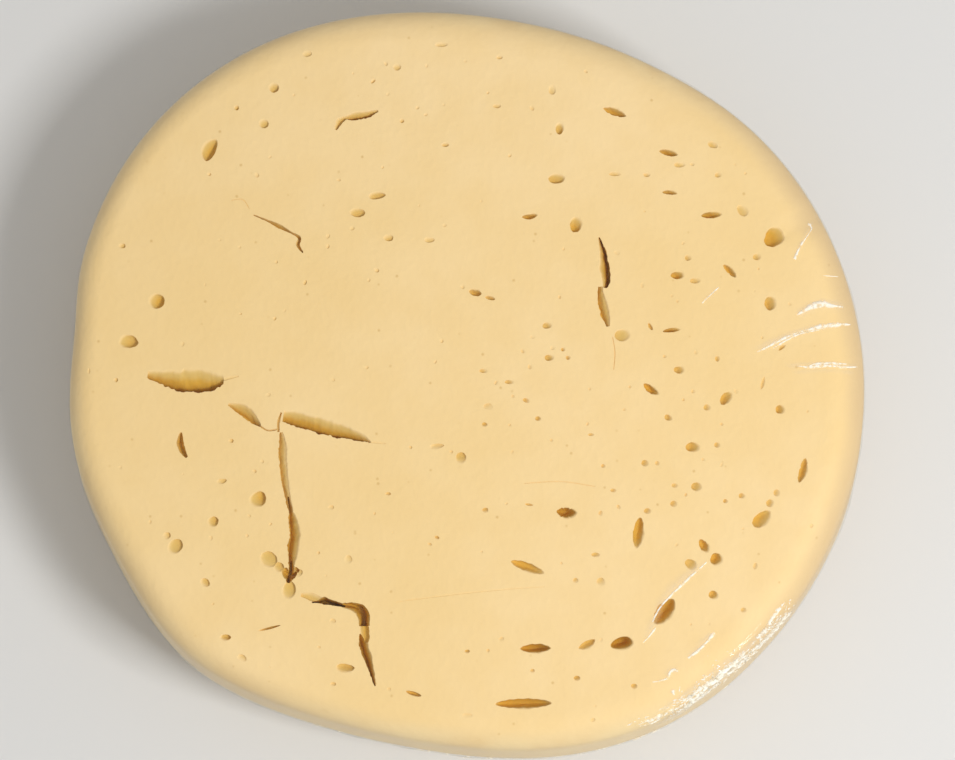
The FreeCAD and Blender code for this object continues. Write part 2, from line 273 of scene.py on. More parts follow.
# small eyes that the solid leaves out
smallEyes = [
    (-48.6, 99.3, 2.6, 2.0, 0, 0.5), (-61.6, 77.4, 2.6, 2.4, 0, 0.9), (-70.0, 82.4, 1.4, 1.4, 0, 0.8),
    (-104.3, 39.9, 1.8, 1.5, 0, 0.7), (-105.8, -1.1, 1.2, 1.2, 0, 0.6), (93.2, -35.3, 2.0, 1.7, 90, 0.7),
    (91.1, -38.4, 2.2, 1.9, 60, 0.9), (72.4, -9.4, 1.9, 1.7, 0, 0.8), (69.1, 29.2, 3.0, 1.5, 0, 0.8),
    (26.0, 87.9, 2.6, 2.0, 90, 0.5), (10.0, 98.1, 1.8, 1.2, 0, 0.5), (9.2, 83.0, 2.4, 1.2, 0, 0.6),
    (-7.7, 102.1, 3.6, 1.5, 0, 0.5), (-21.2, 95.0, 2.2, 1.8, 0, 0.6), (-28.5, 90.7, 1.8, 0.9, 45, 0.6),
    (-19.7, 78.4, 1.3, 1.2, 0, 0.6), (-6.5, 71.0, 2.1, 1.2, 0, 0.7), (-11.3, 41.7, 3.0, 1.5, 0, 0.6),
    (-23.6, 42.3, 2.7, 1.8, 0, 0.8), (74.8, 71.0, 3.0, 1.8, -25, 0.8), (83.6, 50.7, 3.8, 2.4, -50, 0.7),
    (87.8, 36.5, 2.1, 1.8, 0, 0.8), (67.0, 36.2, 1.8, 1.6, 0, 0.8), (64.6, 64.8, 3.2, 1.5, 0, 0.6),
    (45.0, 62.0, 3.4, 1.2, 0, 0.6), (54.7, 61.7, 2.0, 1.2, 0, 0.6), (76.3, 61.7, 1.8, 1.5, 0, 0.6),
    (24.8, 5.7, 2.4, 1.8, 0, 1.1), (30.6, 5.7, 1.3, 1.2, 0, 0.8), (29.1, 8.2, 1.2, 1.1, 0, 0.7),
    (24.2, 15.5, 2.4, 1.8, 0, 1.0), (5.0, 1.7, 2.1, 1.2, 0, 0.7), (12.8, -1.7, 2.4, 1.2, 0, 0.8),
    (17.9, -7.3, 1.9, 1.2, -20, 0.8), (21.5, -12.8, 1.6, 1.3, 0, 0.9), (-9.0, -21.2, 4.2, 1.4, 8, 0.5),
    (6.5, -9.1, 2.6, 1.7, 0, 0.4), (5.4, -14.6, 1.6, 1.2, 0, 0.8), (37.5, -17.7, 1.8, 0.8, 0, 0.6),
    (-73.6, -31.8, 2.8, 1.4, 10, 0.6), (-89.9, -48.2, 2.0, 1.9, 0, 0.7), (-78.3, -62.3, 2.8, 2.0, -40, 0.9),
    (-67.3, -85.1, 2.9, 2.2, -20, 0.6), (-70.9, -19.6, 1.4, 1.2, 0, 0.6), (-50.4, -59.3, 2.4, 2.0, 0, 0.6),
    (-35.4, -55.3, 2.2, 2.0, 90, 0.4), (-8.9, -48.8, 1.5, 0.9, -20, 0.7), (5.6, -40.5, 1.8, 1.3, 0, 0.8),
    (-23.6, -35.6, 1.7, 0.9, 0, 0.6), (18.8, -38.9, 2.3, 0.7, -8, 0.7), (60.7, -12.5, 2.2, 1.6, -30, 1.1),
    (75.4, -20.8, 1.6, 1.5, 0, 0.7), (53.6, -26.3, 1.9, 1.8, 0, 0.9), (41.1, -27.2, 1.2, 1.1, 0, 0.6),
    (44.1, -34.6, 1.7, 1.1, 0, 0.6), (62.6, -33.1, 1.9, 1.2, 0, 0.6), (62.2, -38.6, 1.9, 1.7, 0, 0.8),
    (54.3, -40.8, 1.9, 1.6, 0, 0.8), (82.7, -36.2, 1.7, 1.5, 0, 0.8), (77.8, -37.8, 1.3, 1.2, 0, 0.8),
    (104.0, -45.4, 1.7, 1.6, 0, 0.8), (38.7, -54.0, 2.5, 1.2, 0, 0.7), (83.0, -70.6, 1.6, 1.4, 0, 0.6),
    (86.6, -57.4, 2.0, 1.2, 80, 0.5), (40.2, -62.0, 2.2, 2.1, 0, 0.6), (32.7, -61.7, 1.5, 1.4, 0, 0.6),
    (33.0, -91.0, 1.9, 1.3, 0, 1.0), (50.1, -93.4, 1.8, 1.4, 0, 0.8), (37.9, -104.0, 2.2, 1.8, 0, 1.0),
    (0.2, -83.0, 1.5, 1.0, 0, 0.8), (19.7, -88.8, 1.3, 1.1, 0, 0.6), (0.2, -102.4, 3.0, 1.8, 0, 0.3),
    (10.7, -105.8, 1.3, 1.1, 0, 0.5), (-39.9, -92.8, 1.8, 1.1, 0, 0.5), (75.7, 5.4, 1.6, 1.3, 90, 0.7),
    (-86.9, -77.1, 2.8, 1.5, 80, 0.3), (-114.3, 1.7, 2.1, 1.2, 90, 0.5),
]
# slits: the same six sizes, pointed at both ends
slits = [
    (45.0, 81.1, 7.2, 2.1, -20, 2.5), (61.3, 68.5, 5.6, 1.8, -12, 2.5), (74.2, 49.4, 6.0, 1.9, 5, 2.5),
    (79.6, 32.2, 5.2, 1.7, -45, 2.0), (55.6, -3.8, 5.2, 2.0, -35, 2.5), (61.9, 14.0, 5.2, 1.3, 7, 2.0),
    (61.6, 56.2, 4.4, 1.3, -5, 1.8), (19.1, 49.1, 4.6, 1.6, 8, 2.0), (2.6, 25.7, 3.8, 1.9, -15, 2.0),
    (51.6, -47.3, 9.0, 2.9, 82, 2.6), (18.2, -57.7, 10.2, 2.4, -20, 2.2), (17.0, -98.6, 16.5, 2.8, 1, 3.6),
    (20.6, -82.1, 9.0, 2.5, 1, 4.0), (36.0, -80.8, 5.4, 2.0, 28, 1.6), (30.0, -41.1, 5.8, 2.9, -4, 4.2),
    (59.2, -71.0, 9.0, 4.4, 52, 4.0), (101.0, -28.5, 7.5, 2.1, 75, 2.0),
    (-15.8, -95.6, 4.7, 1.2, -17, 1.8), (-39.9, -100.5, 8.0, 1.6, -10, 0.9),
    (-59.0, -76.0, 6.8, 0.7, 14, 1.2), (71.2, -51.2, 4.2, 2.4, -58, 2.4), (95.3, 8.8, 2.6, 1.0, 40, 0.8),
    (89.3, -2.0, 4.0, 1.0, 75, 0.5), (55.6, 15.2, 2.4, 1.0, -60, 1.0), (7.1, 23.9, 3.0, 1.2, -15, 1.2),
]
# cracks: line, half widths along it, depth, and where the floor lies beside the mouth
cracks = [
    ([(-96.3, 0.4), (-93.8, -0.1), (-91.1, -0.7), (-88.4, -1.3), (-85.7, -1.8), (-82.5, -1.6),
      (-79.8, -1.6), (-77.2, -1.8), (-74.4, -1.5), (-73.3, -1.5)],
     [0.9, 1.5, 2.1, 2.5, 3.1, 2.9, 2.9, 2.6, 1.6, 0.8], 5.2, (0.3, -2.4)),
    ([(-73.8, -0.9), (-71.6, -0.4), (-68.8, 0.1)], [0.6, 0.45, 0.2], 0.3, (0.0, -0.2)),
    ([(-71.9, -8.6), (-68.0, -10.2), (-65.0, -12.6), (-62.2, -15.0)],
     [0.3, 1.5, 1.5, 0.3], 2.8, (0.3, -1.2)),
    ([(-62.8, -14.6), (-60.0, -16.4), (-56.4, -15.9)], [0.3, 0.2, 0.25], 0.7, (0.0, -0.2)),
    ([(-55.3, -12.3), (-53.2, -12.7), (-50.5, -13.3), (-47.6, -14.1), (-45.0, -14.9), (-41.5, -16.0),
      (-37.3, -17.0), (-33.3, -18.1), (-28.9, -20.0)],
     [1.3, 1.8, 2.1, 1.9, 2.0, 2.1, 1.7, 1.3, 0.2], 4.8, (0.4, -2.3)),
    ([(-29.6, -19.8), (-24.4, -20.4)], [0.4, 0.15], 0.2, (0.0, -0.1)),
    ([(-55.8, -11.0), (-56.6, -13.6), (-56.7, -16.9)], [0.25, 0.4, 0.3], 0.8, (-0.2, 0.0)),
    ([(-55.9, -17.0), (-55.6, -20.0), (-55.5, -23.9), (-55.1, -28.2), (-54.7, -32.1), (-54.1, -35.4),
      (-53.5, -38.2), (-52.9, -41.0)], [0.35, 0.9, 1.05, 0.95, 0.85, 0.75, 0.7, 0.6], 1.7, (-0.8, 0.0)),
    ([(-53.6, -36.4), (-53.1, -39.6), (-52.6, -42.4)], [0.3, 0.55, 0.5], 2.6, (-0.3, 0.0)),
    ([(-52.7, -41.2), (-52.3, -43.5), (-51.9, -46.0), (-51.8, -48.6), (-52.2, -51.4), (-52.4, -54.2),
      (-52.5, -57.0)], [0.5, 1.1, 1.35, 1.4, 1.35, 1.1, 0.8], 3.4, (-0.8, 0.0)),
    ([(-55.0, -58.8), (-53.9, -59.6), (-52.6, -59.9), (-51.1, -59.0)],
     [0.5, 1.5, 1.7, 0.6], 3.6, (0.3, -0.2)),
    ([(-52.6, -55.6), (-52.6, -58.4), (-53.2, -61.0), (-53.4, -62.4)],
     [0.6, 0.9, 1.2, 0.6], 4.6, (-0.3, 0.0)),
    ([(-86.0, -17.0), (-86.2, -20.4), (-85.4, -22.8), (-84.2, -24.6)],
     [0.25, 1.2, 0.9, 0.3], 2.8, (0.0, 0.0)),
    ([(-49.6, -66.0), (-46.6, -66.7), (-43.8, -67.7)], [0.5, 1.2, 0.8], 0.9, (0.0, -0.3)),
    ([(-46.4, -68.3), (-44.4, -68.0), (-42.8, -67.8), (-40.3, -68.4), (-38.2, -69.0), (-36.4, -69.3)],
     [0.15, 0.5, 1.1, 0.9, 0.6, 0.45], 8.0, (0.0, 0.0)),
    ([(-37.4, -69.2), (-34.6, -69.4), (-32.2, -70.3), (-30.9, -72.4), (-30.7, -75.4)],
     [0.5, 1.0, 1.7, 1.9, 1.5], 5.2, (-0.1, 0.45)),
    ([(-30.6, -75.0), (-30.4, -76.8), (-30.4, -78.8), (-30.6, -80.2)],
     [1.2, 1.3, 1.35, 1.2], 1.9, (0.2, 0.0)),
    ([(-31.9, -77.8), (-31.3, -79.2), (-30.8, -81.2), (-30.2, -83.4), (-29.2, -86.4), (-28.3, -89.4),
      (-27.3, -93.4)], [0.3, 0.9, 1.35, 1.25, 1.0, 0.7, 0.15], 4.4, (-0.6, 0.15)),
    ([(-64.6, 49.4), (-60.4, 47.6), (-57.1, 46.0), (-53.1, 43.9), (-50.7, 42.4), (-51.1, 40.2),
      (-49.6, 37.8)], [0.15, 0.3, 0.6, 0.25, 0.55, 0.55, 0.15], 1.8, (0.0, -0.3)),
    ([(-39.8, 75.6), (-38.6, 78.2), (-36.4, 79.6)], [0.3, 0.9, 0.4], 1.3, (0.2, -0.4)),
    ([(-36.9, 79.3), (-33.6, 79.7), (-30.3, 80.3), (-26.9, 81.5)], [0.4, 1.0, 1.05, 0.2], 2.8, (0.2, -0.8)),
    ([(40.1, 42.5), (41.4, 38.0), (42.0, 33.4), (42.3, 29.4), (41.9, 27.0)],
     [0.2, 0.9, 1.3, 1.2, 0.5], 4.4, (0.7, 0.0)),
    ([(40.4, 27.4), (40.8, 22.8), (41.7, 19.6), (42.7, 15.2)], [0.6, 1.1, 1.25, 0.4], 2.2, (-0.8, 0.0)),
    ([(44.1, 11.9), (44.8, 7.4), (44.4, 2.0)], [0.08, 0.14, 0.08], 0.25, (-0.1, 0.0)),
    ([(17.3, -32.5), (28.2, -31.9), (38.7, -33.4)], [0.08, 0.16, 0.08], 0.2, (0.0, -0.1)),
    ([(-21.0, -68.2), (-8.0, -66.4), (10.0, -64.5), (23.6, -63.6)],
     [0.08, 0.25, 0.2, 0.08], 0.14, (0.0, -0.1)),
    ([(-71.4, 53.9), (-68.0, 54.2), (-65.9, 51.2)], [0.08, 0.2, 0.08], 0.2, (0.0, -0.1)),
]

flatEdge = outlineAt(cheeseTree, cutTop - cheeseLook["faceSkim"])
cheeseEdge = outlineAt(cheeseTree, cutTop / 2)


def cheeseBody():        # the round without its eyes, ring by ring from the base to the middle of the face
    look = cheeseLook
    shape = bmesh.new()
    bareEdge = outlineAt(cheeseTree, baseLift / 2)
    footEdge = outlineAt(cheeseTree, baseLift + look["footSkim"])
    footTop = outlineAt(cheeseTree, baseLift + look["footHeight"])
    shoulderEdge = outlineAt(cheeseTree, cutTop - look["shoulderHeight"])
    ring = firstRing(shape, look["segments"], bareEdge, 0.0)
    bmesh.ops.holes_fill(shape, edges=ring)
    ring = nextRing(shape, ring, bareEdge, baseLift)
    ring = nextRing(shape, ring, footEdge, baseLift)
    ring = roundRings(shape, ring, footEdge, footTop, baseLift, look["footHeight"], look["footShares"])
    ring = sideRings(shape, ring, cheeseTree, look["sideLevels"])
    down = -look["shoulderHeight"]
    ring = roundRings(shape, ring, flatEdge, shoulderEdge, cutTop, down, look["shoulderShares"])
    faceRings(shape, ring, look["ringGap"], cutTop)
    return shape


def sinkRings(cutter, outline, levels):        # closed cutter: the outline is carried down, level by level
    shape = bmesh.new()
    made = bmesh.ops.create_circle(shape, cap_ends=True, segments=len(outline), radius=firstRadius)
    source = dict(zip(made["verts"], outline))
    ring = shape.edges[:]
    for vert, (x, y) in source.items():
        vert.co = levels[0](x, y)
    for placing in levels[1:]:
        made = bmesh.ops.extrude_edge_only(shape, edges=ring)
        fresh = {}
        for item in made["geom"]:
            if isinstance(item, bmesh.types.BMVert):
                ends = [edge.other_vert(item) for edge in item.link_edges]
                fresh[item] = source[next(end for end in ends if end in source)]
        for vert, (x, y) in fresh.items():
            vert.co = placing(x, y)
        source = fresh
        ring = [item for item in made["geom"] if isinstance(item, bmesh.types.BMEdge)]
    bmesh.ops.holes_fill(shape, edges=ring)
    bmesh.ops.triangulate(shape, faces=shape.faces)
    bmesh.ops.recalc_face_normals(shape, faces=shape.faces)
    draft = bpy.data.meshes.new("pocket")
    shape.to_mesh(draft)
    shape.free()
    cutter.from_mesh(draft)
    bpy.data.meshes.remove(draft)


def wallLevels(placing, lip, dip, depth, walls):        # from over the face, round the lip and down the wall
    levels = [placing(0, 1.15, 1.0), placing(0, 1.0, 0.02), placing(0, lip[0], -0.12 * dip),
              placing(0, lip[1], -0.45 * dip), placing(lip[2], 0, -dip)]
    return levels + [placing(share, 0, -dip - depth * share) for share in walls]


def addPocket(shape, place, dice, pointed=False):        # an eye, or a slit if pointed
    look = pocketLook
    x, y, length, width, direction, depth = place
    turn = math.radians(direction)
    inward = -Vector((x, y)).normalized()        # the undercut side is the one nearer the middle
    sides = next(count for longer, count in look["sides"] if length > longer)
    uneven = [(count, dice.uniform(0, most), dice.uniform(0, 6)) for count, most in look["waves"]]
    slide = dice.uniform(*look["slide"]) * (look["slitSlide"] if pointed else 1)
    bow = dice.uniform(-look["bow"], look["bow"]) if pointed else 0
    blunt = dice.uniform(*look["blunt"]) if pointed else 0
    outline = []
    for side in range(sides):
        angle = math.tau * side / sides
        swell = 1 + sum(size * math.sin(count * angle + phase) for count, size, phase in uneven)
        if pointed:
            swell += sum(3 * size * math.sin(2 * count * angle + phase) for count, size, phase in uneven[2:])
        rise = math.sin(angle)
        along = length / 2 * math.cos(angle) * (1 if pointed else swell)
        across = width / 2 * (rise * swell * abs(rise) ** blunt + bow * rise ** 2)
        outline.append((along * math.cos(turn) - across * math.sin(turn),
                        along * math.sin(turn) + across * math.cos(turn)))
    lip = min(1.0, 0.3 * width)

    def placing(share, opening, height):        # opening widens the mouth, most on its sloping side
        def put(ox, oy):
            spot = Vector((ox, oy))
            lean = spot.normalized().dot(inward)
            soft, steep = (0.5 - 0.5 * lean) ** 2, (0.5 + 0.5 * lean) ** 2
            narrow = math.sqrt(1 - (share * 0.97) ** 2.4) * (1 - 0.55 * soft * share ** 0.8)
            narrow = max(narrow + 0.12 * steep * share, 0.18)
            spot = spot * narrow + spot.normalized() * lip * opening * (0.2 + 0.8 * soft)
            spot += inward * slide * share * width / 2
            return (x + spot.x) * mm, (y + spot.y) * mm, cutTop + height * mm
        return put
    dip = 0.5 * lip * min(1, depth)        # how far down the soft lip reaches
    sinkRings(shape, outline, wallLevels(placing, look["lip"], dip, max(depth - dip, 0.1), look["walls"]))


def crackStations(line, halfWidths, step):        # places along a crack, with half widths and normals
    places = smoothLine(line, step)
    corners = []        # where the line's own points come among them
    for point in line:
        away = [(place - Vector(point)).length for place in places]
        corners.append(away.index(min(away)))
    stations = []
    for index, place in enumerate(places):
        later = [number for number, corner in enumerate(corners) if number and corner >= index]
        after = later[0] if later else len(line) - 1
        share = (index - corners[after - 1]) / max(corners[after] - corners[after - 1], 1)
        half = halfWidths[after - 1] + (halfWidths[after] - halfWidths[after - 1]) * min(max(share, 0), 1)
        ahead = places[min(index + 1, len(places) - 1)] - places[max(index - 1, 0)]
        stations.append((place, half, Vector((-ahead.y, ahead.x)).normalized()))
    return stations


def addCrack(shape, line, halfWidths, depth, lean, seed):        # a torn split, undercut on one side
    look = crackLook
    deep = depth > look["hairline"]
    stations = crackStations(line, halfWidths, look["steps"][deep])
    under = Vector(lean) / max(1, Vector(lean).length)        # the undercut side, and how much it is
    table = {}
    for side in (1, -1):
        for place, half, across in stations[::side]:
            across = across * side
            spot = Vector((place.x, place.y, seed + side * 7.3))
            torn = noise.noise(spot * 0.3) + 0.5 * noise.noise(spot * 0.9)
            ragged = noise.noise(spot * 1.3) + 0.6 * noise.noise(spot * 3.1)
            steep, soft = max(0, across.dot(under)), max(0, -across.dot(under))
            ragged *= look["ragged"] * (0.3 + 0.7 * steep) * min(1, half / 0.6)
            reach = max(half * (1 + look["tear"] * torn * 1.6) + ragged, 0.07)
            sunk = 0.3 + 0.7 * min(1, half / (0.75 * max(halfWidths)))        # shallower where it is narrow
            mouth = (place.x + across.x * reach, place.y + across.y * reach)
            table[mouth] = (place, across, reach, soft, steep, sunk)

    def placing(share, lip, height):
        def put(ox, oy):
            place, across, reach, soft, steep, sunk = table[ox, oy]
            spot = Vector((place.x, place.y, seed + share * 3))
            rough = noise.noise(spot * 0.7) + 0.6 * noise.noise(spot * 2.0)
            rough *= 0.2 * min(share * 4, 1) * min(reach, 1.2)
            narrow = 1 - share * 0.7 * (1 - soft - steep) - share * 0.1 * steep - soft * 1.5 * share ** 0.62
            roll = lip * (0.06 + soft * min(1.3, 0.15 + 0.5 * reach)) * min(1, reach + 0.2)
            spot = place + across * (reach * narrow + roll + rough) + Vector(lean) * share * 0.7 * sunk
            return spot.x * mm, spot.y * mm, cutTop + (height if height > 0 else height * sunk) * mm
        return put
    dip = min(0.5, depth * 0.25)
    walls = look["walls"] if deep else look["hairWalls"]
    sinkRings(shape, list(table), wallLevels(placing, look["lip"], dip, depth - dip, walls))


def clearOf(place, radius, discs):        # discs are places and radii in mm
    return all((place - other).length > radius + size for other, size in discs)


def firstClear(groups, discs):        # the first set of pockets that all these discs keep clear of
    for group in groups:
        if all(clearOf(place, radius, group["discs"]) for place, radius in discs):
            break
    else:
        group = {"discs": [], "cutter": bmesh.new()}
        groups.append(group)
    group["discs"] += discs
    return group["cutter"]


def pocketSets():        # closed cutters: pockets that meet are in different ones
    dice = random.Random(11)
    groups = []
    for index, crack in enumerate(cracks):
        line, halfWidths = crack[:2]
        discs = [(place, max(halfWidths) + crackLook["margin"]) for place in smoothLine(line, 1.5)]
        addCrack(firstClear(groups, discs), *crack, seed=index * 5.7)
    for pocket in eyes + smallEyes + slits:
        discs = [(Vector(pocket[:2]), pocket[2] / 2 + pocketLook["margin"])]
        addPocket(firstClear(groups, discs), pocket, dice, pointed=pocket in slits)
    look = pinholeLook
    taken = [(Vector(pocket[:2]), max(pocket[2], 2) / 2) for pocket in eyes + smallEyes + slits]
    taken += [(place, look["crackMargin"]) for crack in cracks for place in smoothLine(crack[0], 2)]
    made = 0
    while made < look["count"]:
        angle, away = dice.uniform(0, math.tau), math.sqrt(dice.random()) * look["spread"]
        spot = Vector((away * math.cos(angle), away * math.sin(angle)))
        if clearOf(spot, look["margin"], taken):
            width = dice.triangular(*look["widths"])
            length, turn = width * dice.uniform(*look["longer"]), dice.uniform(0, 180)
            depth = width * dice.uniform(*look["depths"])
            addPocket(groups[0]["cutter"], (*spot, length, width, turn, depth), dice)
            taken.append((spot, width / 2))
            made += 1
    return [group["cutter"] for group in groups]


def makeCheese():
    look = cheeseLook
    cutters = pocketSets()
    plain = cheeseBody()
    plainTree = BVHTree.FromBMesh(plain)
    body = finishedObject("cheeseRound", plain)
    drafts = [finishedObject(f"cutter{index}", cutter) for index, cutter in enumerate(cutters)]
    for draft in drafts:
        hollow = body.modifiers.new("hollow", "BOOLEAN")
        hollow.operation = "DIFFERENCE"
        hollow.solver = "MANIFOLD"
        hollow.object = draft
    applyModifiers(body)
    for draft in drafts:
        bpy.data.objects.remove(draft)
    print("pockets cut in", len(drafts), "sets")
    shape = bmesh.new()
    shape.from_mesh(body.data)
    bmesh.ops.remove_doubles(shape, verts=shape.verts, dist=look["weld"])
    bpy.data.objects.remove(body)
    pit = shape.verts.layers.float.new("pit")        # depth under the plain round, in mm
    rim = shape.verts.layers.float.new("rim")        # 0 on the face, 1 down the side
    for vert in shape.verts:
        inside = vert.co.z > cutTop / 2 and plainTree.find_nearest(vert.co)[3] > 0.01 * mm
        above = plainTree.ray_cast(Vector((vert.co.x, vert.co.y, cutTop * 2)), Vector((0, 0, -1)))[0]
        vert[pit] = max(above.z - vert.co.z, 0) / mm if inside else 0
        angle = angleOf(vert)
        vert[rim] = smoothStep(flatEdge(angle) - look["rimWidth"], cheeseEdge(angle), vert.co.xy.length)
        vert.co += lumps(above if inside else vert.co)
    body = finishedObject("cheeseRound", shape, look["sharp"])
    even = body.modifiers.new("even", "WEIGHTED_NORMAL")        # keeps the face flat up to each mouth
    even.keep_sharp = True
    applyModifiers(body)
    return body


cheesePiece = makeCheese()
print("cheese", len(cheesePiece.data.polygons), "faces")
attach(cheesePiece, "root")
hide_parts("cheese")


filmLook = {
    "segments": 360,
    "wall": 0.1 * mm,
    "gap": 0.25 * mm,        # from the cut face up to the film
    "faceRing": 8.0 * mm,        # between its rings over the cut face
    "hemLevel": 0.15 * mm,        # where the hem's inner edge is read
    "hemShares": [0.25, 0.5, 0.75, 1.0],        # rings out under the base
    "footShares": [0.03, 0.12, 0.28, 0.5, 0.75, 1.0],
    "sideLevels": [12, 16, 20, 24, 28, 32, 36, 40, 44, 48.5],
    "gather": 0.7 * mm,        # how far the folds of the side stand out at the foot
    "gatherRange": (1.5 * mm, cutTop - 4 * mm),        # and the heights that they keep between
    "pleat": 0.12 * mm,        # height of the hem's pleats, under the base
    "pleats": 47,
    "wrinkled": (14 * mm, 40),        # wrinkles lie above this depth under the face, and past so many mm out
    "refined": [5.0, 3.0, 2.0],        # bands in mm beside the wrinkles, each with faces half as large
    "widestRefined": 20,        # mm: larger faces stay whole
    "fullFold": 0.5,        # mm: from this height on a fold is at its whitest
}

# wrinkles: points in mm, height and half width in mm, and how broken the crest is, 0 to 1
wrinkles = [
    ([(99.5, 18.6), (103.5, 21.2), (107.9, 22.6), (114.9, 21.7)], 0.3, 1.5, 0.35),
    ([(86.9, 8.2), (95.0, 11.8), (103.4, 14.6), (114.0, 16.2)], 0.25, 1.1, 0.45),
    ([(95.9, 3.2), (106.0, 4.0), (118.5, 3.5)], 0.2, 0.8, 0.35),
    ([(97.9, 1.2), (107.0, 1.9), (117.5, 1.4)], 0.15, 0.7, 0.45),
    ([(105.5, 48.2), (102.0, 42.0), (99.5, 35.9)], 0.25, 0.6, 0.9),
    ([(76.0, 27.0), (72.0, 23.0)], 0.2, 0.6, 0.5),
    ([(72.7, -55.9), (67.3, -59.6), (64.3, -61.7), (61.3, -64.5), (58.3, -68.5), (57.4, -72.2),
      (53.1, -79.9)], 0.25, 1.1, 0.5),
    ([(73.9, -77.7), (71.2, -79.9), (69.4, -82.4), (66.1, -85.1)], 0.25, 1.0, 0.4),
    ([(63.7, -88.5), (60.7, -89.1), (59.5, -90.4)], 0.2, 0.9, 0.4),
    ([(62.2, -94.1), (61.6, -95.9)], 0.3, 0.8, 0.3),
    ([(101.0, -68.0), (88.0, -80.5), (74.0, -93.0), (60.0, -103.5), (51.0, -108.8)], 0.5, 0.9, 0.6),
    ([(98.0, -69.5), (86.0, -80.0), (72.5, -92.0), (62.0, -99.5)], 0.45, 0.8, 0.6),
    ([(96.0, -75.5), (84.0, -87.5), (72.0, -97.5), (56.0, -108.2)], 0.5, 0.8, 0.5),
    ([(80.0, -84.0), (69.0, -93.0), (58.0, -101.0)], 0.3, 0.7, 0.7),
]


def wrinkleHeight(spot, lines):        # in mm
    lift = 0
    for index, (places, height, reach, broken) in enumerate(lines):
        away, share, side = nearestOn(places, spot)
        if away < 3 * reach:
            crest = 0.5 + 0.5 * noise.noise(Vector((spot.x * 0.45, spot.y * 0.45, index * 9.1)))
            taper = min(1, share * 7, (1 - share) * 7)
            slope = 1.25 if side > 0 else 0.8        # one side of a wrinkle is steeper
            bell = math.exp(-(away / reach * slope) ** 2 * 1.6)
            lift += height * taper * (1 - broken + broken * 1.6 * crest) * bell
    return lift


def gatherHeight(angle, height):        # upright folds of the stretched side, deepest at the foot
    lowest, highest = filmLook["gatherRange"]
    if not lowest < height < highest:
        return 0
    low = 1 - smoothStep(0, cutTop - 6 * mm, height)
    around = Vector((math.cos(angle), math.sin(angle), 0))
    drape = noise.noise(around * 9 + Vector((0, 0, height * 25)))
    drape += 0.6 * noise.noise(around * 22 + Vector((0, 0, height * 18 + 4)))
    return max(0, drape) * filmLook["gather"] * (0.25 + 0.75 * low)


def refineFilm(shape, lines):        # smaller faces along the wrinkles
    for band in filmLook["refined"]:
        near = {}        # keeps their order, as a set doesn't
        for face in shape.faces:
            centre = face.calc_center_median()
            if centre.z < cutTop - 12 * mm:
                continue
            spot = Vector(centre[:2]) / mm
            spread = max(edge.calc_length() for edge in face.edges) / mm / 2
            if spread > filmLook["widestRefined"]:
                continue
            if any(nearestOn(places, spot)[0] < band + min(spread, 3) for places, *_ in lines):
                near.update(dict.fromkeys(face.edges))
        bmesh.ops.subdivide_edges(
            shape, edges=list(near), cuts=1, use_grid_fill=True, use_only_quads=False)


def makeFilm():
    look = filmLook
    middle = look["wall"] / 2
    shape = bmesh.new()
    hemEdge = tabled(lambda angle: inwardReach(filmTree, angle, look["hemLevel"]))
    footEdge = outlineAt(filmTree, cheeseLook["footSkim"], middle)

    def pleats(angle):
        return middle + look["pleat"] * (1 + math.sin(look["pleats"] * angle + 3 * math.sin(5 * angle)))

    def hemReach(share):
        return lambda angle: hemEdge(angle) + (footEdge(angle) - hemEdge(angle)) * share
    ring = firstRing(shape, look["segments"], hemEdge, 0)
    for vert in shape.verts:
        vert.co.z = pleats(angleOf(vert))
    for share in look["hemShares"]:
        ring = nextRing(shape, ring, hemReach(share), pleats)
    faceLevel = cutTop + look["gap"]
    footHeight = cheeseLook["footHeight"] + baseLift / 2
    shoulderHeight = cheeseLook["shoulderHeight"] + look["gap"]
    footTop = outlineAt(filmTree, footHeight, middle)
    shoulderEdge = outlineAt(filmTree, faceLevel - shoulderHeight, middle)
    ring = roundRings(shape, ring, footEdge, footTop, middle, footHeight, look["footShares"])
    ring = sideRings(shape, ring, filmTree, look["sideLevels"], middle)
    shares = cheeseLook["shoulderShares"]
    ring = roundRings(shape, ring, flatEdge, shoulderEdge, faceLevel, -shoulderHeight, shares)
    faceRings(shape, ring, look["faceRing"], faceLevel)
    lines = [(smoothLine(line, 3.0), height, reach, broken) for line, height, reach, broken in wrinkles]
    refineFilm(shape, lines)
    bmesh.ops.recalc_face_normals(shape, faces=shape.faces)
    shape.normal_update()
    fold = shape.verts.layers.float.new("fold")        # how milky the raised film looks
    depth, away = look["wrinkled"]
    moves = {}
    for vert in shape.verts:
        spot = Vector(vert.co[:2]) / mm
        lift = wrinkleHeight(spot, lines) if vert.co.z > cutTop - depth and spot.length > away else 0
        gather = gatherHeight(angleOf(vert), vert.co.z)
        vert[fold] = min(1, lift / look["fullFold"]) + min(1, gather / (look["fullFold"] * mm)) * 0.5
        level = Vector((vert.co.x, vert.co.y, min(vert.co.z, cutTop)))
        moves[vert] = vert.normal * (lift * mm + gather) + lumps(level)
    for vert, move in moves.items():
        vert.co += move
    sheet = finishedObject("clearFilm", shape)
    thick = sheet.modifiers.new("wall", "SOLIDIFY")
    thick.thickness = look["wall"]
    thick.offset = 0
    applyModifiers(sheet)
    return sheet


filmPiece = makeFilm()
print("film", len(filmPiece.data.polygons), "faces")
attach(filmPiece, "root")
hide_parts("film")


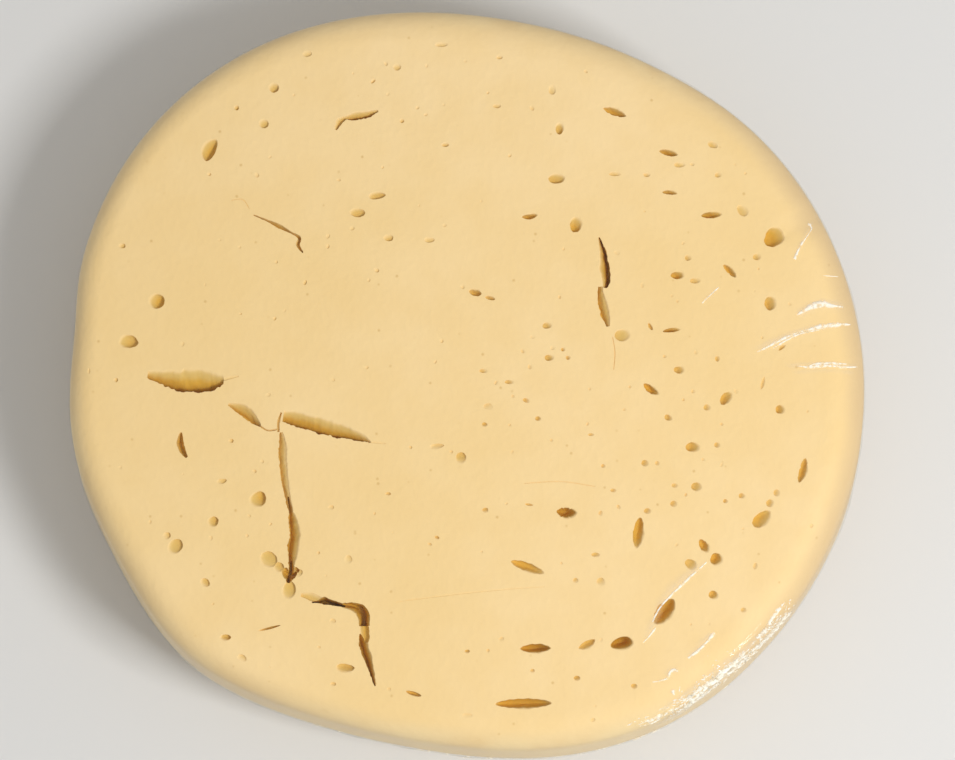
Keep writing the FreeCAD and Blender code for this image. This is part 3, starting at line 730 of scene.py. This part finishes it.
foldLook = {
    "step": 0.45,        # mm between the points of a fold
    "width": 1.9,        # to the half widths in the list
    "bunchedWidth": 2.5,
    "sink": 0.9,        # how deep a fold's middle lies under the film, to its half width
    "lowest": (2, 8),        # mm under the cut face, where a fold over the shoulder ends
    "drawIn": 0.996,        # how a point that would lie lower is brought in
    "bedding": 0.03 * mm,        # the flat underside's depth in the film
    "weld": 0.0005 * mm,
    "sharp": 70,        # degrees
}

speckLook = {        # short pinches beside the bunched folds, white strokes that paint glints
    "count": 380,
    "stray": [(-0.5, 1.5), (0.5, 1.5)],        # mm across and up from its fold: mean and spread
    "turn": 0.5,        # spread of its direction, in radians
    "lengths": (0.3, 2.2, 0.6),        # mm: least, most and commonest
    "halves": (0.08, 0.3),
}

glintLook = {        # short pinches round the foot at the front, white strokes that paint glints
    "count": 46,
    "directions": (238, 312),        # degrees
    "heights": (5, 30),        # mm
    "lengths": (0.4, 1.6),        # mm each way
    "climb": 0.6,        # mm up or down in that length
    "footRadius": 118,        # mm
    "halves": (0.12, 0.4),
}

# folds pinched up in the film, whose white is partly painted highlight: line in mm over the face, half
# widths in mm, and how broken, 0 to 1
folds = [
    ([(99.8, 18.7), (102.6, 20.3), (104.5, 21.4), (108.1, 22.2), (109.9, 21.7), (115.0, 21.5)],
     [0.08, 0.4, 0.75, 0.7, 0.22, 0.08], 0.2),
    ([(87.8, 7.4), (92.4, 9.7), (96.1, 11.6), (99.8, 13.2), (105.3, 14.7), (108.5, 15.6), (113.6, 16.1),
      (116.4, 16.2)], [0.06, 0.3, 0.24, 0.16, 0.26, 0.45, 0.45, 0.08], 0.5),
    ([(92.6, 8.6), (97.0, 11.2), (101.0, 13.0), (106.6, 14.1)], [0.08, 0.2, 0.2, 0.06], 0.6),
    ([(99.8, 3.1), (103.0, 3.0), (105.3, 3.8), (109.5, 4.1), (114.8, 3.9)],
     [0.05, 0.1, 0.2, 0.22, 0.08], 0.3),
    ([(101.6, 2.9), (103.2, 2.8), (108.5, 3.2), (114.5, 2.9), (118.4, 3.3)],
     [0.08, 0.45, 0.2, 0.28, 0.1], 0.3),
    ([(105.8, 48.1), (104.4, 44.8), (101.0, 39.4), (99.3, 35.9)], [0.3, 0.07, 0.2, 0.3], 0.7),
    ([(71.2, 22.4), (76.3, 27.2)], [0.12, 0.06], 0.8),
    ([(108.1, 30.9), (112.7, 30.9)], [0.06, 0.08], 0.5),
    ([(72.0, -56.3), (68.3, -59.7), (64.5, -63.1), (60.5, -67.1), (57.8, -70.2), (55.6, -74.2)],
     [0.1, 0.2, 0.3, 0.2, 0.14, 0.2], 0.3),
    ([(56.7, -75.9), (54.8, -78.4), (52.8, -80.5)], [0.3, 0.2, 0.1], 0.5),
    ([(73.9, -77.9), (71.7, -80.5), (69.5, -82.8), (66.4, -85.0)], [0.45, 0.25, 0.22, 0.25], 0.4),
    ([(63.3, -89.0), (61.9, -88.5), (60.8, -89.3), (60.2, -90.9), (57.8, -91.9), (55.6, -92.2)],
     [0.2, 0.3, 0.25, 0.2, 0.12, 0.06], 0.5),
    ([(61.6, -94.8), (62.2, -96.0)], [0.3, 0.12], 0.0),
]
# those bunched together over one side's shoulder
bunchedFolds = [
    ([(99.5, -71.1), (96.7, -73.6), (94.0, -75.3), (90.6, -78.2), (89.2, -81.0)],
     [0.1, 0.3, 0.35, 0.3, 0.15], 0.4),
    ([(98.4, -72.5), (94.5, -76.5), (91.2, -79.9), (88.9, -83.3)], [0.1, 0.35, 0.35, 0.2], 0.4),
    ([(88.9, -82.2), (83.4, -84.5), (77.8, -89.0), (72.3, -93.6), (65.6, -98.7)],
     [0.1, 0.2, 0.24, 0.2, 0.1], 0.3),
    ([(88.4, -83.3), (82.3, -87.3), (76.7, -90.7), (71.1, -94.7), (66.1, -99.3)],
     [0.1, 0.22, 0.26, 0.22, 0.2], 0.4),
    ([(85.1, -85.0), (80.0, -87.3), (75.6, -89.6)], [0.1, 0.3, 0.1], 0.7),
    ([(87.3, -84.5), (80.6, -90.7), (75.6, -95.3), (70.0, -98.7), (66.7, -100.4)],
     [0.1, 0.2, 0.25, 0.3, 0.2], 0.5),
    ([(77.8, -94.7), (73.3, -97.0), (70.0, -99.9), (66.1, -101.0)], [0.1, 0.3, 0.3, 0.2], 0.6),
    ([(66.1, -101.0), (63.4, -102.7), (60.6, -105.0), (57.8, -106.7), (53.3, -108.7)],
     [0.2, 0.3, 0.35, 0.25, 0.1], 0.6),
]


def makeFolds():
    dice = random.Random(5)
    shape = bmesh.new()
    shape.from_mesh(filmPiece.data)
    wrap = BVHTree.FromBMesh(shape)
    shape.free()
    curve = bpy.data.curves.new("folds", "CURVE")
    curve.dimensions = "3D"
    curve.bevel_depth = mm
    curve.bevel_resolution = 2
    curve.use_fill_caps = True

    def addFold(places, half):        # places on the film, and a function of the share along them
        if len(places) < 2:
            return
        spline = curve.splines.new("POLY")
        spline.points.add(len(places) - 1)
        for index, (place, normal) in enumerate(places):
            radius = half(index / (len(places) - 1), place)
            spline.points[index].co = (*(place - normal * radius * foldLook["sink"] * mm), 1)
            spline.points[index].radius = radius

    def dropped(places, lowest):        # let down on the film, and drawn in where that is too low
        down = []
        for x, y in places:
            spot = Vector((x, y, 80)) * mm
            hit = wrap.ray_cast(spot, Vector((0, 0, -1)))
            while hit[0] is None or hit[0].z < cutTop - lowest * mm:
                spot.xy *= foldLook["drawIn"]
                hit = wrap.ray_cast(spot, Vector((0, 0, -1)))
            down.append(hit[:2])
        return down

    def tapered(size):        # widest in its middle
        return lambda share, place: size * (1 - abs(2 * share - 1) * 0.8)

    least, most = foldLook["lowest"]
    for index, (line, halves, broken) in enumerate(folds + bunchedFolds):
        width = foldLook["width"] if index < len(folds) else foldLook["bunchedWidth"]

        def half(share, place):        # flickers along the fold, the more so the more broken it is
            along = share * (len(halves) - 1)
            low = min(int(along), len(halves) - 2)
            wide = (halves[low] + (halves[low + 1] - halves[low]) * (along - low)) * width
            spot = place / mm
            flicker = noise.noise(spot * 0.55 + Vector((0, 0, index * 3.7))) + 0.6 * noise.noise(spot * 1.7)
            return max(wide * (1 + broken * 1.4 * (flicker - 0.15)), 0.02)
        lowest = least + (most - least) * (index * 0.618 % 1)        # a different level for each neighbour
        addFold(dropped(smoothLine(line, foldLook["step"]), lowest), half)
    look = speckLook
    bunched = [smoothLine(line, 1.0) for line, *_ in bunchedFolds]
    for _ in range(look["count"]):
        run = dice.choice(bunched)
        spot = dice.choice(run)
        along = (run[-1] - run[0]).normalized()
        spot = spot + Vector([dice.gauss(*stray) for stray in look["stray"]])
        turn = math.atan2(along.y, along.x) + dice.gauss(0, look["turn"])
        reach = Vector((math.cos(turn), math.sin(turn))) * dice.triangular(*look["lengths"])
        size = dice.uniform(*look["halves"])
        pinch = dropped([spot - reach / 2, spot, spot + reach / 2], dice.uniform(least, most))
        addFold(pinch, tapered(size))
    look = glintLook
    for _ in range(look["count"]):
        angle, height = math.radians(dice.uniform(*look["directions"])), dice.uniform(*look["heights"]) * mm
        swing = dice.uniform(*look["lengths"]) / look["footRadius"]
        climb = dice.uniform(-look["climb"], look["climb"]) * mm
        places = []
        for step in (-1, 0, 1):
            out = Vector((math.cos(angle + swing * step), math.sin(angle + swing * step), 0))
            hit = wrap.ray_cast(out * 0.2 + Vector((0, 0, height + climb * step)), -out)
            if hit[0]:
                places.append(hit[:2])
        addFold(places, tapered(dice.uniform(*look["halves"])))
    draft = bpy.data.objects.new("foldDraft", curve)
    bpy.context.collection.objects.link(draft)
    depsgraph = bpy.context.evaluated_depsgraph_get()
    shape = bmesh.new()
    shape.from_mesh(bpy.data.meshes.new_from_object(draft.evaluated_get(depsgraph)))
    bpy.data.objects.remove(draft)
    bmesh.ops.remove_doubles(shape, verts=shape.verts, dist=foldLook["weld"])
    for vert in shape.verts:        # the underside is laid flat on the film
        place, normal, *_ = wrap.find_nearest(vert.co)
        height = (vert.co - place).dot(normal)
        if height < -foldLook["bedding"]:
            vert.co -= normal * (height + foldLook["bedding"])
    return finishedObject("filmFolds", shape, foldLook["sharp"])


foldPiece = makeFolds()
print("folds", len(foldPiece.data.polygons), "faces")
foldPiece.visible_shadow = False        # thin film lets the light through
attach(foldPiece, "root")


class Wire:        # an output socket; sums written with it become Math nodes
    def __init__(self, bench, socket):
        self.bench = bench
        self.socket = socket

    def join(self, operation, *values):
        return self.bench.node("Math", {"operation": operation}, dict(enumerate(values)))

    def __add__(self, other):
        return self.join("ADD", self, other)

    def __radd__(self, other):
        return self.join("ADD", other, self)

    def __sub__(self, other):
        return self.join("SUBTRACT", self, other)

    def __rsub__(self, other):
        return self.join("SUBTRACT", other, self)

    def __mul__(self, other):
        return self.join("MULTIPLY", self, other)

    def __rmul__(self, other):
        return self.join("MULTIPLY", other, self)

    def __pow__(self, other):
        return self.join("POWER", self, other)

    def beside(self, name):        # another output of the same node
        return Wire(self.bench, self.socket.node.outputs[name])

    def rise(self, low, high):        # 0 under low, 1 over high, smooth between
        settings = {"interpolation_type": "SMOOTHSTEP"}
        return self.bench.node("MapRange", settings, {"Value": self, "From Min": low, "From Max": high})


class Bench:        # one material and its nodes
    def __init__(self, name):
        self.material = bpy.data.materials.new(name)
        self.material.use_nodes = True
        self.tree = self.material.node_tree
        self.tree.nodes.clear()
        self.coords = self.node("TexCoord", {}, {}, "Object")

    def node(self, kind, settings, values, output=0):
        made = self.tree.nodes.new("ShaderNode" + kind)
        for key, value in settings.items():
            setattr(made, key, value)
        for key, value in values.items():
            socket = made.inputs[key]
            if isinstance(value, Wire):
                self.tree.links.new(value.socket, socket)
            else:
                socket.default_value = value
        return Wire(self, made.outputs[output])

    def attribute(self, name):
        return self.node("Attribute", {"attribute_name": name}, {}, "Fac")

    def noise(self, scale, detail, roughness=0.5):
        values = {"Vector": self.coords, "Scale": scale, "Detail": detail, "Roughness": roughness}
        return self.node("TexNoise", {}, values)

    def blend(self, share, first, second):        # colours
        return self.node("Mix", {"data_type": "RGBA"}, {0: share, 6: first, 7: second}, 2)

    def finish(self, shader, piece):
        last = self.tree.nodes.new("ShaderNodeOutputMaterial")
        self.tree.links.new(shader.socket, last.inputs["Surface"])
        piece.data.materials.clear()
        piece.data.materials.append(self.material)


def tone(red, green, blue):        # a colour as read on a screen, 0 to 255
    return tuple(share / 12.92 if share <= 0.04045 else ((share + 0.055) / 1.055) ** 2.4
                 for share in (red / 255, green / 255, blue / 255)) + (1,)


cheeseTones = {
    "paste": tone(247, 215, 154),
    "cloud": tone(251, 221, 166),        # paler, broad
    "mottle": tone(242, 207, 141),        # deeper, fine
    "speck": tone(212, 172, 104),
    "goldenShade": tone(224, 188, 108),        # painted shade and warm bounced light just inside a pocket
    "amberShade": tone(222, 176, 70),        # deeper painted shade and bounced light further down
    "deep": tone(202, 152, 50),        # darkest painted shade, on its floor
    # the rind's own tone, lightened as painted light against the shade on the shoulder and side
    "rindAndLight": tone(236, 206, 152),
    "rindPaleAndLight": tone(243, 217, 166),
    "rindBrown": tone(220, 190, 144),
}


def cheeseFinish():
    tones = cheeseTones
    bench = Bench("provolonePaste")
    pit = bench.attribute("pit")
    rim = bench.attribute("rim")
    clouds = bench.noise(9, 2).rise(0.3, 0.7)
    mottle = bench.noise(60, 2, 0.6).rise(0.3, 0.7)
    grain = bench.noise(420, 1, 0.6)
    paste = bench.blend(clouds, tones["paste"], tones["cloud"])
    paste = bench.blend(mottle * 0.3, paste, tones["mottle"])
    near = bench.node(
        "TexVoronoi", {"feature": "F1"}, {"Vector": bench.coords, "Scale": 190, "Randomness": 1})
    some = bench.node("SeparateColor", {}, {"Color": near.beside("Color")}).rise(0.45, 0.75)
    paste = bench.blend((1 - near.rise(0.03, 0.13)) * some * 0.55, paste, tones["speck"])
    # pockets darken and warm with depth: painted shade and bounced light
    spread = pit * (0.6 + 0.8 * bench.noise(160, 3, 0.6))
    goldenShade = bench.blend(spread.rise(0.02, 0.9), paste, tones["goldenShade"])
    amberShade = bench.blend(spread.rise(0.8, 2.4), goldenShade, tones["amberShade"])
    deep = bench.blend(spread.rise(2.2, 4.6), amberShade, tones["deep"])
    rindAndLight = bench.blend(mottle, tones["rindAndLight"], tones["rindPaleAndLight"])
    across = bench.node("SeparateXYZ", {}, {"Vector": bench.coords})
    rindAndLight = bench.blend(across.rise(0.05, 0.12) * 0.8, rindAndLight, tones["rindBrown"])        # browner on one side
    wobble = rim + (bench.noise(35, 2) - 0.5) * 0.25
    # rind colour and painted light over the shoulder and side, kept out of the pockets
    colour = bench.blend(wobble.rise(0.35, 1.0) * (1 - pit.rise(0.3, 1.0)), deep, rindAndLight)
    rough = 0.42 + 0.16 * mottle
    bump = bench.node("Bump", {}, {"Strength": 0.25, "Distance": 0.0006, "Height": grain})
    shader = bench.node("BsdfPrincipled", {}, {
        "Base Color": colour, "Roughness": rough, "Normal": bump, "Specular IOR Level": 0.35})
    bench.finish(shader, cheesePiece)


filmTones = {
    "clear": (0.985, 0.985, 0.98, 1),
    "milky": (0.86, 0.84, 0.78, 1),        # where it is gathered
    "doubled": (0.99, 0.99, 0.98, 1),        # what a pinched fold lets through
    "warmGlint": (0.97, 0.91, 0.76, 1),        # and its white patches, partly the creased film's own white and partly painted highlight
    "brightGlint": (1.0, 0.97, 0.88, 1),
}


def filmFinish():
    tones = filmTones
    bench = Bench("clearWrap")
    fold = bench.attribute("fold")
    facing = bench.node("LayerWeight", {}, {"Blend": 0.5}, "Facing")
    outside = 1 - bench.node("NewGeometry", {}, {}, "Backfacing")        # only the outer skin has gloss
    crinkle = bench.noise(32, 0)
    bump = bench.node("Bump", {}, {"Strength": 0.12, "Distance": 0.003, "Height": crinkle})
    clear = bench.node("BsdfTransparent", {}, {"Color": tones["clear"]})
    gloss = bench.node("BsdfGlossy", {}, {"Color": (1, 1, 1, 1), "Roughness": 0.09, "Normal": bump})
    skin = bench.node("MixShader", {}, {0: (0.024 + 0.25 * facing ** 5) * outside, 1: clear, 2: gloss})
    milky = bench.node(
        "BsdfPrincipled", {}, {"Base Color": tones["milky"], "Roughness": 0.3, "Normal": bump})
    shader = bench.node("MixShader", {}, {0: 0.16 * fold, 1: skin, 2: milky})
    bench.finish(shader, filmPiece)


def foldFinish():        # the film doubled on itself: its white is partly the creased film's own and partly painted highlight
    tones = filmTones
    bench = Bench("foldedWrap")
    glintPatches = bench.noise(700, 2, 0.6)
    brightGlint = bench.blend(glintPatches.rise(0.35, 0.65), tones["warmGlint"], tones["brightGlint"])
    clear = bench.node("BsdfTransparent", {}, {"Color": tones["doubled"]})
    white = bench.node("BsdfPrincipled", {}, {"Base Color": brightGlint, "Roughness": 0.35})
    # flickering white patches paint glints along the folds
    whiteAndGlint = 0.12 + 0.73 * glintPatches.rise(0.3, 0.6)
    bench.finish(bench.node("MixShader", {}, {0: whiteAndGlint, 1: clear, 2: white}), foldPiece)


cheeseFinish()
filmFinish()
foldFinish()
print("finishes ready")


studio = {
    "aim": (0.0033, -0.0011, cutTop),
    "elevation": 82.5,
    "distance": 1.3,
    "viewWidth": 12.65,        # degrees
    "lamps": [        # place, size, watts, and whether its own image shows in gloss
        ((0.56, -0.36, 1.05), 0.3, 8.8, False),
        ((1.0, -0.8, 1.05), 0.1, 1.0, True),
    ],
    "sky": 0.52,
    "skyTint": (1.0, 0.985, 0.965, 1),
    "floorSize": 8,
    "floorTint": (0.72, 0.72, 0.71, 1),
}


def makeStudio():
    look = studio
    aim = Vector(look["aim"])
    bpy.ops.mesh.primitive_plane_add(size=look["floorSize"], location=(0, 0, 0))
    floor = bpy.context.object
    floor.name = "floor"
    bench = Bench("paleFloor")
    pale = bench.node("BsdfPrincipled", {}, {"Base Color": look["floorTint"], "Roughness": 0.8})
    bench.finish(pale, floor)
    for index, (place, size, watts, shows) in enumerate(look["lamps"]):
        lamp = bpy.data.lights.new(f"lamp{index}", "AREA")
        lamp.size = size
        lamp.energy = watts
        holder = bpy.data.objects.new(f"lamp{index}", lamp)
        holder.location = place
        holder.visible_glossy = shows
        holder.rotation_euler = (aim - Vector(place)).to_track_quat("-Z", "Y").to_euler()
        bpy.context.collection.objects.link(holder)
    world = bpy.data.worlds.new("sky")
    world.use_nodes = True
    background = world.node_tree.nodes["Background"]
    background.inputs["Color"].default_value = look["skyTint"]
    background.inputs["Strength"].default_value = look["sky"]
    bpy.context.scene.world = world
    rise = math.radians(look["elevation"])
    camera = bpy.data.cameras.new("camera")
    camera.angle = math.radians(look["viewWidth"])
    holder = bpy.data.objects.new("camera", camera)
    holder.location = aim + look["distance"] * Vector((0, -math.cos(rise), math.sin(rise)))
    holder.rotation_euler = (math.pi / 2 - rise, 0, 0)
    bpy.context.collection.objects.link(holder)
    bpy.context.scene.camera = holder
    bpy.context.scene.view_settings.view_transform = "Standard"


makeStudio()
